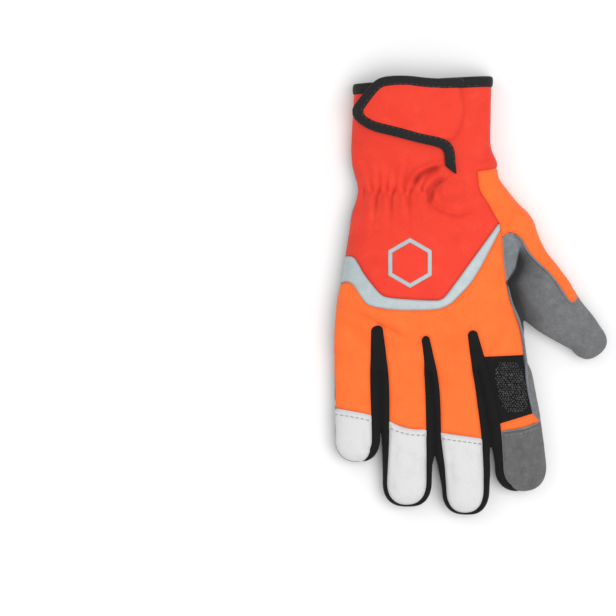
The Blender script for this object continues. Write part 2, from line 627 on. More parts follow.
def strip_outline(first, second, side):
    """Dark strip between two fingers, round the crotch and about half round both tips."""
    below = CROTCHES[first, second][side] - CROTCH_ROUND
    left = panel_edge(first, "panel_right", below)
    right = panel_edge(second, "panel_left", below)
    angles = np.radians(np.arange(0, 181, 20))
    middle, half = (left[0][0] + right[0][0]) / 2, (right[0][0] - left[0][0]) / 2
    arch = np.column_stack([middle + half * np.cos(angles), below + CROTCH_ROUND * np.sin(angles)])
    first_tip, second_tip = panel_tip(first), panel_tip(second)
    first_at = len(first_tip) // 2 - PAST_TIP[first]
    second_at = len(second_tip) // 2 + PAST_TIP[second]
    return outline(
        arch,
        left[1:],
        first_tip[first_at:][::-1],
        [(first_tip[first_at][0], -2 * FAR), (second_tip[second_at][0], -2 * FAR)],
        second_tip[:second_at + 1][::-1],
        right[1:][::-1],
    )


def in_box(points, line, reach):
    """Which points lie in the box round a line, in plan."""
    low, high = line.min(axis=0) - reach, line.max(axis=0) + reach
    return np.all((points[:, :2] > low) & (points[:, :2] < high), axis=1)


def signed_distance(points, line):
    """Distance in plan to a closed outline, positive inside it. Far outside it is a constant."""
    near = in_box(points, line, EDGE_REACH)
    distance = np.full(len(points), -EDGE_REACH)
    distance[near] = distance_near(points[near], line)
    return distance


def distance_near(points, line):
    x, y = points[:, 0], points[:, 1]
    nearest = np.full(len(points), 1e9)
    inside = np.zeros(len(points), bool)
    for a, b in zip(line, np.roll(line, -1, axis=0)):
        edge = b - a
        length = edge @ edge
        if length < 1e-9:
            continue
        share = np.clip(((x - a[0]) * edge[0] + (y - a[1]) * edge[1]) / length, 0, 1)
        dx = x - a[0] - share * edge[0]
        dy = y - a[1] - share * edge[1]
        nearest = np.minimum(nearest, dx * dx + dy * dy)
        if a[1] != b[1]:
            crosses = (a[1] > y) != (b[1] > y)
            inside ^= crosses & (x < a[0] + (y - a[1]) * edge[0] / edge[1])
    return np.where(inside, 1.0, -1.0) * np.sqrt(nearest)


def nearest_on_line(points, line):
    """Distance in plan to an open line, and how far along it the nearest place is, from 0 to 1."""
    nearest = np.full(len(points), 1e9)
    share_at = np.zeros(len(points))
    for i, (a, b) in enumerate(zip(line, line[1:])):
        edge = b - a
        share = np.clip(((points[:, :2] - a) @ edge) / max(edge @ edge, 1e-9), 0, 1)
        away = ((points[:, :2] - a - share[:, None] * edge) ** 2).sum(axis=1)
        closer = away < nearest
        nearest[closer] = away[closer]
        share_at[closer] = (i + share[closer]) / (len(line) - 1)
    return np.sqrt(nearest), share_at


# Outlines that panels share: the dark strips and the side of the index finger, on the back and on the palm
STRIPS = [[strip_outline(*pair, side) for side in ("back", "palm")] for pair in CROTCHES]
INDEX_SIDE_ON_BACK = outline(curve(INDEX_SIDE), INDEX_CAP_SEAM[3:], [(60, -42), (33, -30)])
INDEX_SIDE_ON_PALM = outline(curve(INDEX_SIDE_PALM), [(60, -84), (60, -42), THUMB_FOLD[1]])


def cuff_edge(x):
    return CUFF_END_Y + CUFF_SLANT * x


# Relief of the cloth, along the surface normal
def gather_relief(points):
    """Folds up and down from the elastic: each is a ridge with a narrower valley on its right."""
    x, y = points[:, 0], points[:, 1]
    relief = np.zeros(len(points))
    for fold_x, lean_up, shift_down, lean_down, up, down, height in GATHERS:
        above = np.clip((y - ELASTIC_Y) / up, 0, None)
        below = np.clip((ELASTIC_Y - y) / down, 0, None)
        middle = fold_x + lean_up * above**1.4 + lean_down * below
        middle = middle + shift_down * step_up(ELASTIC_Y - y, -3.5, 3.5)
        away = above + below
        fade = height * np.exp(-1.7 * away**2)
        relief += fade * bell(x - middle, 1.5 + 1.5 * away)
        relief -= 0.8 * fade * bell(x - middle - 2.3 - 0.9 * away, 0.85 + 0.9 * away)
    across = step_up(x, -70, -64) * (1 - step_up(x, -26, -16))
    return relief - 0.35 * across * bell(y - ELASTIC_Y, 2.2)


def motif_relief(points):
    return -MOTIF_DEPTH * bell(signed_distance(points, hexagon(MOTIF_CENTRE, MOTIF_RADIUS)), MOTIF_HALF)


def fold_relief(points, folds):
    relief = np.zeros(len(points))
    for path, half, height in folds:
        line = smooth_line(path, 3.0)
        near = in_box(points, line, 3 * half)
        if near.any():
            away, share = nearest_on_line(points[near], line)
            fade = step_up(share, 0, 0.25) * (1 - step_up(share, 0.7, 1.0))
            relief[near] += height * fade * bell(away, half)
    return relief


def crease_share(points, start, reach):
    """1 where the thumb goes down deepest beside the hand. It sets in from the start, along the hand."""
    x, y = points[:, 0], points[:, 1]
    edge = np.vstack([HAND_SIDE[::-1], CROTCH_PATCH[::-1][1:]])
    away = x - np.interp(y, edge[:, 1], edge[:, 0])
    length = step_up(y, start, start + CREASE_FADE) * (1 - step_up(y, 18, 34))
    return length * step_up(away, -0.6, 1.6) * np.exp(-np.clip(away, 0, None) / reach)


def cloth_relief(points, normals):
    """Folds, gathers and the unevenness of worn cloth, and how far each place lies in a hollow, up to 1."""
    on_back = step_up(points[:, 2], 8, 13)
    narrow = [fold for fold in BACK_FOLDS if fold[1] < NARROW_FOLD]
    wide = [fold for fold in BACK_FOLDS if fold[1] >= NARROW_FOLD]
    sharp = on_back * (gather_relief(points) + fold_relief(points, narrow))
    soft = on_back * fold_relief(points, wide) + (1 - on_back) * fold_relief(points, PALM_FOLDS)
    relief = sharp + soft
    hollow = np.clip(-sharp / HOLLOW_DEPTH, 0, 1) + WIDE_SHADE * np.clip(-soft / HOLLOW_DEPTH, 0, 1)
    upward = step_up(normals[:, 2], 0.1, 0.6)
    relief -= on_back * upward * CREASE_DEPTH * crease_share(points, CREASE_START, CREASE_REACH)
    relief += (1 - on_back) * motif_relief(points)
    relief += 0.30 * noise(points, 17.0, 3) + 0.12 * noise(points, 6.5, 4)
    return relief, hollow


def seam_height(points):
    """Height of the side seam: the softshell wraps a little further under beside the little finger."""
    wrap = bell(points[:, 1] + 38, 6.5) * (points[:, 0] < -60)
    return SEAM_Z - 4.0 * wrap + 0.5 * noise(points * [1, 1, 0], 14.0, 6)


# Meshes from cut surfaces
class Skin:
    """Triangles whose points carry a field to cut at and other values."""

    def __init__(self, points, carried, values, triangles):
        self.points, self.carried, self.values, self.triangles = points, carried, values, triangles

    def compact(self):
        used, back = np.unique(self.triangles, return_inverse=True)
        return Skin(self.points[used], self.carried[used], self.values[used], back.reshape(-1, 3))

    def cut(self, level, keep_below):
        """Adds points along a level of the field, and drops what is below it unless told to keep it."""
        above = self.values > level
        count = above[self.triangles].sum(axis=1)
        parts = [self.triangles[count == 3]]
        if keep_below:
            parts.append(self.triangles[count == 0])
        crossed = []
        for lone_above in (True, False):
            chosen = self.triangles[count == (1 if lone_above else 2)]
            turn = np.argmax(above[chosen] == lone_above, axis=1)
            rows = np.arange(len(chosen))
            crossed.append([chosen[rows, (turn + i) % 3] for i in range(3)])
        pairs = [np.column_stack([a, other]) for a, b, c in crossed for other in (b, c)]
        unique, where = np.unique(np.sort(np.vstack(pairs), axis=1), axis=0, return_inverse=True)
        places = np.split(where.ravel() + len(self.points), np.cumsum([len(pair) for pair in pairs])[:-1])
        start, end = unique.T
        share = ((level - self.values[start]) / (self.values[end] - self.values[start]))[:, None]
        for lone_above, (a, b, c), (on_b, on_c) in zip((True, False), crossed, (places[:2], places[2:])):
            if lone_above or keep_below:
                parts.append(np.column_stack([a, on_b, on_c]))
            if keep_below or not lone_above:
                parts.append(np.column_stack([on_b, b, c]))
                parts.append(np.column_stack([on_b, c, on_c]))
        points = np.vstack([self.points, self.points[start] * (1 - share) + self.points[end] * share])
        carried = np.vstack([self.carried, self.carried[start] * (1 - share) + self.carried[end] * share])
        values = np.concatenate([self.values, np.full(len(unique), float(level))])
        return Skin(points, carried, values, np.vstack(parts)).compact()


def open_edges(triangles):
    """Directed edges that only one triangle has."""
    edges = np.vstack([triangles[:, [0, 1]], triangles[:, [1, 2]], triangles[:, [2, 0]]])
    key = np.sort(edges, axis=1)
    _, where, counts = np.unique(key, axis=0, return_inverse=True, return_counts=True)
    return edges[counts[where.ravel()] == 1]


def closed_shell(outside, inside, triangles):
    """Points and triangles of a wall between two skins with the same triangles, the outer faces first."""
    rim = open_edges(triangles)
    shift = len(outside)
    walls = np.vstack([
        np.column_stack([rim[:, 1], rim[:, 0], rim[:, 0] + shift]),
        np.column_stack([rim[:, 1], rim[:, 0] + shift, rim[:, 1] + shift]),
    ])
    return np.vstack([outside, inside]), np.vstack([triangles, walls, triangles[:, ::-1] + shift])


def new_object(name, points, triangles, materials, material_of=None, sharp=40):
    mesh = bpy.data.meshes.new(name)
    mesh.vertices.add(len(points))
    mesh.vertices.foreach_set("co", (np.asarray(points) * MM).astype(np.float32).ravel())
    mesh.loops.add(3 * len(triangles))
    mesh.loops.foreach_set("vertex_index", np.asarray(triangles).astype(np.int32).ravel())
    mesh.polygons.add(len(triangles))
    mesh.polygons.foreach_set("loop_start", np.arange(0, 3 * len(triangles), 3, dtype=np.int32))
    mesh.polygons.foreach_set("use_smooth", np.ones(len(triangles), bool))
    if material_of is not None:
        mesh.polygons.foreach_set("material_index", material_of.astype(np.int32))
    mesh.update(calc_edges=True)
    mesh.validate()
    mesh.set_sharp_from_angle(angle=math.radians(sharp))
    for material in materials:
        mesh.materials.append(material)
    piece = bpy.data.objects.new(name, mesh)
    bpy.context.scene.collection.objects.link(piece)
    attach(piece, "root")
    return piece


class Panels:
    """The outer skin of the glove with its relief, from which every panel is cut."""

    def __init__(self):
        grid = Grid()
        self.points, self.normals, self.triangles = grid.surface(grid.glove())
        self.relief, self.hollow = cloth_relief(self.points, self.normals)
        self.up = self.points[:, 2] - seam_height(self.points)
        strips = [self.both(*outlines) for outlines in STRIPS]
        self.strip = np.minimum(np.max(strips, axis=0), self.strip_ends())
        self.index_side = np.minimum(self.both(INDEX_SIDE_ON_BACK, INDEX_SIDE_ON_PALM), -self.strip)
        self.taken = np.maximum(self.strip, self.index_side)
        self.cuff = cuff_edge(self.points[:, 0]) - CUFF_SETBACK - self.points[:, 1]
        worn = self.points + self.normals * self.relief[:, None]
        self.tree = BVHTree.FromPolygons(worn.tolist(), self.triangles.tolist())

    def strip_ends(self):
        """Room left for the dark strips at the two outer fingertips, where they end in a point."""
        x, y, z = self.points.T
        room = np.full(len(self.points), FAR)
        for name, way in (("little", 1), ("index", -1)):
            tip = panel_tip(name)
            end = tip[len(tip) // 2 - way * PAST_TIP[name]][0]
            before = np.clip(y - FINGERS[name][-1][0] + STRIP_TAPER_LENGTH, 0, None)
            taper = way * (x - end) - STRIP_TAPER * np.abs(z - STRIP_END_Z) + 2 * before
            room = np.minimum(room, np.where(way * x < way * (end + 14 * way), taper, FAR))
        return room

    def distance(self, line):
        return signed_distance(self.points, line)

    def back(self, line):
        return np.minimum.reduce([self.distance(line), self.up, -self.taken, self.cuff])

    def palm(self, line):
        return np.minimum.reduce([self.distance(line), -self.up, -self.taken, self.cuff])

    def both(self, back, *palm):
        """One panel over the side seam, from its outline on the back and those on the palm."""
        on_back = self.distance(back)
        on_palm = np.max([self.distance(line) for line in palm], axis=0)
        joined = np.minimum(on_back, on_palm)
        return np.maximum(joined, np.maximum(np.minimum(on_back, self.up), np.minimum(on_palm, -self.up)))

    def cut(self, field):
        carried = np.column_stack([self.normals, self.relief, self.hollow])
        near = (field[self.triangles] > -0.5).any(axis=1)
        skin = Skin(self.points, carried, field, self.triangles[near]).cut(SEAM_GAP, False)
        for level in CUT_LEVELS:
            skin = skin.cut(level, True)
        return skin

    def wall(self, name, field, material, lift=0.0, wall=WALL, crown=None, seam=SEAM_DEPTH, roll=SEAM_WIDTH,
             lining=True):
        """One closed panel. The crown gives its extra height for a distance from the seam."""
        skin = self.cut(field)
        normals, relief, hollow = skin.carried[:, :3], skin.carried[:, 3], skin.carried[:, 4]
        away = skin.values
        outer = relief + lift - seam * bell(away, roll)
        if crown is not None:
            outer = outer + crown(away, skin.points)
        inner = np.minimum(relief + lift - wall, outer - THINNEST)
        outside = skin.points + normals * outer[:, None]
        inside = skin.points + normals * inner[:, None]
        outside[:, 2] = np.maximum(outside[:, 2], FLOOR_GAP)
        inside[:, 2] = np.maximum(inside[:, 2], INSIDE_LOW)
        points, triangles = closed_shell(outside, inside, skin.triangles)
        material_of = np.zeros(len(triangles), np.int32)
        if lining:
            material_of[-len(skin.triangles):] = 1
        piece = new_object(name, points, triangles, [material, LINING] if lining else [material], material_of)
        worn = crease_share(skin.points, GRIME_START, GRIME_REACH) * step_up(skin.points[:, 2], 3, SEAM_Z)
        for shade, values in (("seam", np.exp(-away / 0.9)), ("grime", worn), ("hollow", hollow)):
            attribute = piece.data.attributes.new(shade, "FLOAT", "POINT")
            attribute.data.foreach_set("value", np.tile(values, 2).astype(np.float32))
        return piece

    def on_surface(self, line, side):
        """Places and normals on the worn skin above or below points seen in plan."""
        start, way = (ABOVE, Vector((0, 0, -1))) if side == "back" else (BELOW, Vector((0, 0, 1)))
        places, normals = [], []
        for x, y in line:
            hit, normal, _, _ = self.tree.ray_cast(Vector((x, y, start)), way)
            if hit is not None:
                places.append(hit)
                normals.append(normal if normal.z * way.z < 0 else -normal)
        return np.array(places), np.array(normals)


# Materials
class Paint:
    """A material from nodes. Its coordinates are the object's own, in metres."""

    # sockets of the node that mixes two colours
    FACTOR, FIRST, SECOND, RESULT = 0, 6, 7, 2

    def __init__(self, name, color, roughness, **settings):
        self.material = bpy.data.materials.new(name)
        self.material.use_nodes = True
        self.tree = self.material.node_tree
        self.shader = self.tree.nodes["Principled BSDF"]
        self.shader.inputs["Roughness"].default_value = roughness
        for socket, value in settings.items():
            self.shader.inputs[socket.replace("_", " ")].default_value = value
        self.place = self.tree.nodes.new("ShaderNodeTexCoord").outputs["Object"]
        self.shader.inputs["Base Color"].default_value = linear_color(color)
        self.color = None
        self.plain = color
        self.height = None

    def node(self, kind, inputs=None, **settings):
        made = self.tree.nodes.new(kind)
        for name, value in settings.items():
            setattr(made, name, value)
        for name, value in (inputs or {}).items():
            socket = made.inputs[name]
            if isinstance(value, bpy.types.NodeSocket):
                self.tree.links.new(value, socket)
            else:
                socket.default_value = value
        return made

    def turned(self, angle):
        """The coordinates turned about z."""
        turn = {"Vector": self.place, "Rotation": (0, 0, math.radians(angle))}
        return self.node("ShaderNodeMapping", turn).outputs["Vector"]

    def noise(self, size, detail=2.0, place=None):
        """Noise from 0 to 1 with bumps of about the given size in millimetres."""
        return self.node("ShaderNodeTexNoise", {
            "Vector": place or self.place, "Scale": 1000 / size, "Detail": detail,
        }).outputs["Fac"]

    def cells(self, size, feature="F1"):
        return self.node("ShaderNodeTexVoronoi", {"Vector": self.place, "Scale": 1000 / size},
                         feature=feature).outputs["Distance"]

    def ribs(self, period, direction="X", place=None, wobble=0.0):
        """Soft ribs from 0 to 1 with the given period in millimetres."""
        return self.node("ShaderNodeTexWave", {
            "Vector": place or self.place, "Scale": 1000 * math.pi / (10 * period), "Distortion": wobble,
            "Detail": 1.0, "Detail Scale": 1.5,
        }, bands_direction=direction).outputs["Fac"]

    def math(self, operation, first, second):
        return self.node("ShaderNodeMath", {0: first, 1: second}, operation=operation).outputs[0]

    def span(self, value, low, high, most=1.0):
        """0 where the value is low, the most where it is high."""
        return self.node("ShaderNodeMapRange", {
            "Value": value, "From Min": low, "From Max": high, "To Max": most,
        }).outputs["Result"]

    def mix(self, color, value, low, high, most):
        """Mixes a colour over what is there, the most where the value is high."""
        made = self.node("ShaderNodeMix", data_type="RGBA")
        if self.color is None:
            made.inputs[self.FIRST].default_value = linear_color(self.plain)
        else:
            self.tree.links.new(self.color, made.inputs[self.FIRST])
        made.inputs[self.SECOND].default_value = linear_color(color)
        self.tree.links.new(self.span(value, low, high, most), made.inputs[self.FACTOR])
        self.color = made.outputs[self.RESULT]

    def shade(self, name):
        """A value that the mesh carries: nearness of the seam, hollows, or grime beside the thumb."""
        return self.node("ShaderNodeAttribute", attribute_name=name).outputs["Fac"]

    def raise_by(self, value, amount):
        part = self.math("MULTIPLY", value, amount)
        self.height = part if self.height is None else self.math("ADD", self.height, part)

    def done(self):
        if self.color is not None:
            self.tree.links.new(self.color, self.shader.inputs["Base Color"])
        if self.height is not None:
            bump = self.node("ShaderNodeBump", {"Height": self.height, "Strength": 1.0, "Distance": MM})
            self.tree.links.new(bump.outputs["Normal"], self.shader.inputs["Normal"])
        return self.material


def linear_color(color):
    """A colour of 0 to 255 as linear light."""
    parts = [part / 255 for part in color]
    return (*[part / 12.92 if part <= 0.04045 else ((part + 0.055) / 1.055) ** 2.4 for part in parts], 1)


def darker(color, share):
    return tuple(share * part for part in color)


def softshell(name, color, dark, pale):
    paint = Paint(name, color, 0.75, Sheen_Weight=0.06, Sheen_Roughness=0.5, Specular_IOR_Level=0.3)
    paint.mix(pale, paint.noise(9.0, 3.0), 0.5, 0.75, 0.30)
    paint.mix(dark, paint.noise(14.0, 3.0, paint.turned(25)), 0.5, 0.8, 0.35)
    paint.mix(dark, paint.noise(0.9, 2.0), 0.35, 0.75, 0.22)
    paint.mix(dark, paint.shade("seam"), 0.0, 1.0, 0.45)
    paint.mix(darker(dark, 0.75), paint.shade("hollow"), 0.05, 0.8, 0.66)
    weave = paint.math("MULTIPLY", paint.ribs(0.62, "X"), paint.ribs(0.62, "Y"))
    paint.raise_by(weave, 0.05)
    paint.raise_by(paint.noise(1.6, 3.0), 0.10)
    paint.raise_by(paint.noise(6.0, 2.0), 0.25)
    return paint.done()


def suede(name, tint):
    """The tint is added to every grey of the suede."""
    grey = lambda level: tuple(level + part for part in tint)
    paint = Paint(name, grey(105), 0.95, Sheen_Weight=0.12, Sheen_Roughness=0.6, Specular_IOR_Level=0.2)
    paint.mix(grey(124), paint.noise(3.4, 4.0), 0.45, 0.75, 0.6)
    paint.mix(grey(86), paint.noise(6.5, 4.0, paint.turned(40)), 0.48, 0.78, 0.6)
    paint.mix(grey(136), paint.noise(0.8, 3.0), 0.55, 0.8, 0.5)
    paint.mix(grey(76), paint.noise(1.1, 3.0, paint.turned(70)), 0.55, 0.8, 0.5)
    paint.mix(grey(140), paint.shade("seam"), 0.25, 0.8, 0.45)
    paint.mix(grey(30), paint.shade("grime"), 0.05, 0.6, 0.9)
    paint.mix(grey(70), paint.shade("hollow"), 0.05, 0.9, 0.5)
    paint.raise_by(paint.noise(0.7, 3.0), 0.16)
    paint.raise_by(paint.noise(2.8, 3.0), 0.28)
    return paint.done()


def raw_edge():
    paint = Paint("Raw_suede_edge", (158, 159, 161), 0.95, Sheen_Weight=0.1, Specular_IOR_Level=0.2)
    paint.mix((120, 121, 123), paint.noise(1.6, 3.0), 0.5, 0.8, 0.7)
    paint.raise_by(paint.noise(0.7, 3.0), 0.2)
    return paint.done()


def brushed_lining():
    paint = Paint("Brushed_lining", (84, 85, 88), 0.95, Sheen_Weight=0.15, Specular_IOR_Level=0.2)
    paint.mix((66, 67, 70), paint.noise(2.2, 3.0), 0.45, 0.75, 0.8)
    paint.raise_by(paint.ribs(1.1, "X", wobble=1.0), 0.15)
    paint.raise_by(paint.noise(0.8, 3.0), 0.15)
    return paint.done()


def leather():
    paint = Paint("White_leather", (210, 210, 210), 0.6, Specular_IOR_Level=0.3)
    paint.mix((190, 190, 190), paint.noise(8.0, 3.0), 0.5, 0.8, 0.5)
    paint.mix((170, 171, 174), paint.shade("seam"), 0.0, 1.0, 0.6)
    grain = paint.span(paint.cells(1.1, "DISTANCE_TO_EDGE"), 0.0, 0.22)
    paint.mix((198, 198, 198), grain, 1.0, 0.0, 0.5)
    paint.raise_by(grain, 0.08)
    paint.raise_by(paint.noise(2.5, 3.0), 0.15)
    return paint.done()


def stretch_knit():
    paint = Paint("Black_knit", (17, 17, 18), 0.85, Sheen_Weight=0.04, Specular_IOR_Level=0.2)
    ribs = paint.ribs(0.9, "X", wobble=0.6)
    loops = paint.math("MULTIPLY", ribs, paint.ribs(0.7, "Y", wobble=0.6))
    paint.mix((36, 36, 38), loops, 0.2, 1.0, 0.45)
    paint.mix((9, 9, 10), paint.noise(6.0, 2.0), 0.5, 0.8, 0.5)
    paint.raise_by(loops, 0.20)
    paint.raise_by(paint.noise(1.4, 2.0), 0.12)
    return paint.done()


def tape_weave():
    paint = Paint("Woven_tape", (16, 16, 17), 0.75, Sheen_Weight=0.05, Specular_IOR_Level=0.3)
    twill = paint.ribs(1.0, "DIAGONAL")
    cross = paint.ribs(0.75, "Y", paint.turned(45))
    paint.mix((42, 42, 44), paint.math("MULTIPLY", twill, cross), 0.2, 1.0, 0.5)
    paint.mix((34, 34, 36), paint.noise(2.2, 3.0), 0.55, 0.8, 0.6)
    paint.raise_by(twill, 0.14)
    paint.raise_by(cross, 0.08)
    paint.raise_by(paint.noise(3.0, 2.0), 0.2)
    return paint.done()


def reflective():
    paint = Paint("Reflective_film", (176, 186, 188), 0.5, Metallic=0.1, Specular_IOR_Level=0.4)
    paint.mix((192, 200, 202), paint.noise(5.0, 3.0), 0.45, 0.75, 0.6)
    paint.mix((158, 169, 172), paint.noise(9.0, 3.0, paint.turned(30)), 0.5, 0.8, 0.6)
    beads = paint.cells(0.55)
    paint.mix((146, 163, 168), beads, 0.3, 0.75, 0.35)
    paint.mix((128, 142, 147), paint.shade("seam"), 0.2, 1.0, 0.6)
    paint.raise_by(beads, 0.05)
    paint.raise_by(paint.noise(3.0, 3.0), 0.12)
    return paint.done()


def rubber():
    paint = Paint("Rubber_nubs", (36, 36, 38), 0.5, Specular_IOR_Level=0.45)
    paint.mix((70, 70, 72), paint.noise(4.0, 3.0), 0.5, 0.65, 0.8)
    paint.raise_by(paint.noise(0.8, 3.0), 0.12)
    return paint.done()


def thread(name, color):
    paint = Paint(name, color, 0.7, Sheen_Weight=0.2)
    paint.mix(darker(color, 0.72), paint.noise(0.5, 2.0), 0.4, 0.7, 0.8)
    paint.raise_by(paint.ribs(0.3, "DIAGONAL"), 0.06)
    return paint.done()


RED = softshell("Red_softshell", (228, 57, 37), (200, 40, 28), (240, 80, 56))
ORANGE = softshell("Orange_softshell", (250, 110, 42), (228, 84, 28), (254, 128, 60))
GREY = suede("Suede", (0, 1, 3))
PALE_GREY = suede("Pale_suede", (7, 12, 16))
DEEP_GREY = suede("Deep_suede", (-13, -13, -12))
EDGE = raw_edge()
LINING = brushed_lining()
WHITE = leather()
BLACK = stretch_knit()
TAPE = tape_weave()
SILVER = reflective()
RUBBER = rubber()
THREADS = {
    "grey": thread("Grey_thread", (168, 169, 171)),
    "dark": thread("Dark_thread", (40, 40, 42)),
    "suede": thread("Suede_thread", (124, 125, 127)),
    "red": thread("Red_thread", (228, 66, 46)),
}

panels = Panels()


def stand_for(piece, nodes):
    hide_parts(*nodes)


def add_panel(name, nodes, slot_name, field, material, **shape):
    """A panel of the skin that stands for nodes of the solid part."""
    stand_for(panels.wall(name, field, material, **shape), nodes)


def add_suede(name, node, field, material=GREY, **shape):
    add_panel(name, [node], "grey_suede", field, material, **shape)


# Back of the hand
def make_cuff():
    back = outline(curve(BAND_INNER), curve(GUSSET_HAND_SIDE, True), GUSSET_TOP[1:],
                   [(FAR, 2 * FAR), (LEFT, 2 * FAR)])
    little = outline(WRIST_LEFT, [(-55.5, 2 * FAR), (LEFT, 2 * FAR), (LEFT, 78.4)])
    thumb = outline(WRIST_RIGHT, [(-16, 2 * FAR), (FAR, 2 * FAR)], GUSSET_WRIST_TOP[::-1][:-1])
    field = np.minimum(panels.both(back, little, thumb), panels.cuff)
    nodes = ["back_panel", "cuff_side_little", "cuff_side_thumb"]
    add_panel("cuff_and_back", nodes, "red_softshell", field, RED)


def make_back():
    band = panels.back(outline(curve(BAND_INNER), curve(BAND_OUTER, True)))
    add_panel("reflective_chevron", ["reflective_band"], "reflective_film", band, SILVER, seam=0.45, roll=0.6)
    fingers = outline(curve(BAND_OUTER), curve(CROTCH_SIDE), curve(HAND_SIDE), PATCH_TOP[1:], curve(CAP_SEAM))
    add_panel("fingers_softshell", ["fingers_panel"], "orange_softshell", panels.back(fingers), ORANGE)


def cap_crown(away, points):
    """A white cap swells a little, and its seam allowance makes it thicker beside the seam."""
    from_seam, _ = nearest_on_line(points, smooth_line(CAP_SEAM, 3.0))
    lip = 1 - step_up(from_seam, LIP_WIDTH - 0.4, LIP_WIDTH + 0.4)
    return CAP_SWELL * (1 - bell(away, 5)) + LIP_HEIGHT * lip


def make_caps():
    seam = smooth_line(CAP_SEAM)
    for name in ("little", "ring", "middle"):
        cap = panels.back(fingertip(stretch_between(seam, *SPANS[name]), *SPANS[name]))
        add_panel(f"fingertip_{name}", [f"cap_{name}"], "white_leather", cap, WHITE, crown=cap_crown)


def grip_share(points):
    """0 at the middle of the rubber area on the index finger, 1 at its edge."""
    x, y = (points[:, :2] - GRIP_CENTRE).T
    lean = np.column_stack([x + GRIP_LEAN * y, y])
    return (np.abs(lean / GRIP_HALF) ** GRIP_ROUNDNESS).sum(axis=1) ** (1 / GRIP_ROUNDNESS)


def make_index():
    patch = panels.back(outline([(4, -35.5), (7.5, -35.4)], curve(INDEX_SIDE), INDEX_STRIP_TOP[::-1][1:]))
    crown = lambda away, points: GRIP_HEIGHT * (1 - step_up(grip_share(points), 0.92, 1.0))
    add_panel("index_patch_knit", ["index_patch"], "rubber_patch", patch, BLACK, crown=crown)
    strip = panels.back(outline(INDEX_STRIP_TOP, curve(INDEX_CAP_SEAM[:4], True)))
    add_panel("index_softshell_strip", ["index_strip"], "orange_softshell", strip, ORANGE)
    cap = panels.back(fingertip(curve(INDEX_CAP_SEAM), MIDDLE_INDEX_X, 60))
    add_suede("index_fingertip", "cap_index", cap, DEEP_GREY)
    add_suede("index_side_gusset", "index_side", panels.index_side)


def make_strips():
    nodes = [f"fourchette_{first}_{second}" for first, second in CROTCHES]
    add_panel("between_fingers", nodes, "black_stretch", panels.strip, BLACK, seam=1.0)


# Palm
def make_palm():
    whole = outline(curve(WRIST_SEAM, True), curve(THUMB_ARC, True), THUMB_FOLD[::-1][1:3], [(60, -42)],
                    curve(LOWER_CROSS))
    add_suede("palm_suede", "palm", panels.palm(whole))
    wrist = outline(curve(WRIST_SEAM[:4]), curve(WRIST_LEFT)[1:], curve(WRIST_RIGHT, True)[:-1])
    add_suede("wrist_suede", "palm_wrist", panels.palm(wrist))
    lower_line, upper_line = smooth_line(LOWER_CROSS), smooth_line(UPPER_CROSS)
    for name, span in SPANS.items():
        upper = stretch_between(upper_line, *span)
        base = panels.palm(outline(stretch_between(lower_line, *span), upper[::-1]))
        add_suede(f"finger_root_{name}", f"finger_base_{name}", base)
        front = panels.palm(fingertip(upper, *span))
        add_suede(f"finger_pad_{name}", f"finger_front_{name}", front)


# Thumb
def make_thumb():
    back = outline(curve(GUSSET_THUMB_SIDE[3:]), [(FAR, 16), (FAR, -FAR), (60, -70)], curve(HAND_SIDE, True),
                   curve(CROTCH_PATCH, True)[1:-1])
    add_suede("thumb_back_suede", "thumb_back", panels.back(back))
    front = outline(curve(THUMB_FRONT), THUMB_FOLD[1:])
    add_suede("thumb_front_suede", "thumb_front", panels.palm(front))
    base = outline(curve(THUMB_ARC), curve(GUSSET_PALM_SIDE), [(FAR, 14), (FAR, -60)],
                   curve(THUMB_FRONT, True))
    add_suede("thumb_base_suede", "thumb_base", panels.palm(base))
    gusset_back = outline(curve(GUSSET_HAND_SIDE), curve(GUSSET_TO_CROTCH)[1:], curve(GUSSET_THUMB_SIDE)[1:],
                          [(FAR, 16)], GUSSET_TOP[::-1][:-1])
    gusset_palm = outline(curve(GUSSET_WRIST), curve(GUSSET_PALM_SIDE)[1:], [(FAR, 14)],
                          GUSSET_WRIST_TOP[::-1][:-1])
    gusset = panels.both(gusset_back, gusset_palm)
    add_panel("thumb_softshell", ["thumb_gusset"], "orange_softshell", gusset, ORANGE)
    crotch = panels.back(outline(curve(CROTCH_SIDE), curve(CROTCH_PATCH, True)[1:], [(24, 36.5), (21, 36.2)]))
    crown = lambda away, points: 0.7 * (1 - bell(away, 2.5))
    add_suede("crotch_suede", "thumb_crotch", crotch, PALE_GREY, crown=crown)


# Closure strap
def make_strap():
    cloth = np.minimum(panels.distance(smooth_line(STRAP_CLOTH + STRAP_CLOTH[:1])), panels.up)
    crown = lambda away, points: 0.9 * (1 - bell(away, 5)) + 0.25 * noise(points, 11.0, 8)
    add_panel("strap_softshell", ["strap"], "red_softshell", cloth, RED, lift=STRAP_TOP, wall=STRAP_WALL,
              crown=crown, lining=False)
    from_line, _ = nearest_on_line(panels.points, smooth_line(STRAP_TAPE))
    past_end = (panels.points[:, :2] - TAPE_END) @ np.array(TAPE_END_NORMAL)
    past_end = np.where(panels.points[:, 0] > TAPE_END_FROM_X, past_end, FAR)
    tape = np.minimum.reduce([TAPE_WIDTH / 2 - from_line, panels.up, past_end])
    round_edge = lambda away: np.sqrt(np.clip(1 - (1 - np.clip(away / TAPE_ROUND, 0, 1)) ** 2, 0, 1))
    crown = lambda away, points: TAPE_RISE * round_edge(away) - TAPE_SINK + 0.2 * noise(points, 4.0, 9)
    add_panel("strap_tape", ["strap_binding"], "black_tape", tape, TAPE, lift=STRAP_TOP + TAPE_EXTRA,
              wall=STRAP_WALL + TAPE_EXTRA, crown=crown, seam=0.0, lining=False)


